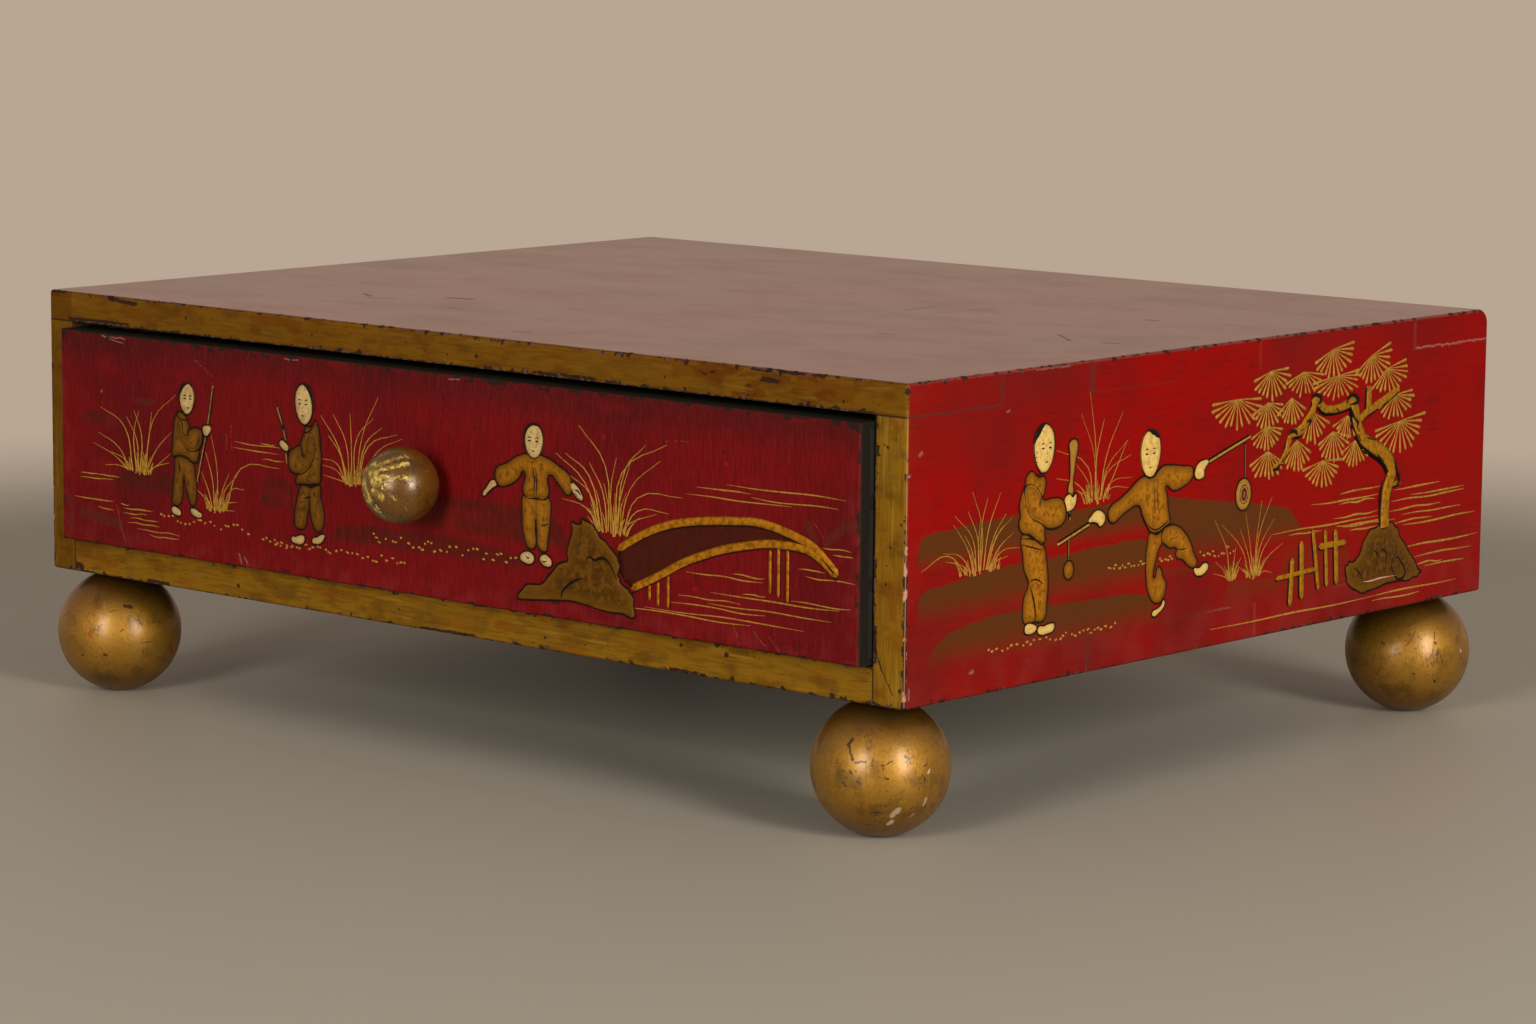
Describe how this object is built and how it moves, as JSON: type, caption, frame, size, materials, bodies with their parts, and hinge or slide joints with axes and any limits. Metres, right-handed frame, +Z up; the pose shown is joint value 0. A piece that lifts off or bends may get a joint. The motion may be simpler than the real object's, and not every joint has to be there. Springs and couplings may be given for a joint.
{
  "type": "box",
  "caption": "Low rectangular lacquered wood box on turned ball feet, with a full-width drawer pulled by a round knob.",
  "frame": {"origin": "on the table under the middle of the box as it stands, knob and feet included", "axes": "+X to the right along the front, +Y from the drawer to the back, +Z up"},
  "size_m": [0.384, 0.3429, 0.1375],
  "materials": {
    "case_top_lacquer": "worn dull red lacquer with gold paint along its front edge",
    "case_side_lacquer": "worn red lacquer with gold figures, grasses and a pine",
    "case_base_paint": "worn gold paint on the edges, dark underneath",
    "drawer_front_lacquer": "worn crimson lacquer with gold figures and a bridge",
    "drawer_wood": "bare aged softwood",
    "wedge_wood": "bare split hardwood",
    "gilt_ball": "polished bronze-gold paint with chips",
    "gilt_knob": "dark bronze paint with worn gold leaf",
    "old_iron": "dull hand-cut iron"
  },
  "bodies": {
    "case": {"top_board": "case_top_lacquer", "bottom_board": "case_base_paint", "left_side": "case_side_lacquer", "right_side": "case_side_lacquer", "back_board": "case_side_lacquer", "back_brads": "old_iron", "front_left_foot": "gilt_ball", "front_right_foot": "gilt_ball", "back_left_foot": "gilt_ball", "back_right_foot": "gilt_ball"},
    "drawer": {"drawer_front": "drawer_front_lacquer", "drawer_left_side": "drawer_wood", "drawer_right_side": "drawer_wood", "drawer_back": "drawer_wood", "drawer_bottom": "drawer_wood", "drawer_bottom_brads": "old_iron", "drawer_knob": "gilt_knob", "knob_wedge": "wedge_wood"}
  },
  "joints": [
    {"name": "drawer_slide", "type": "slide", "parent": "case", "child": "drawer", "axis": [0, -1, 0], "range_m": [-0.006, 0.24]}
  ]
}
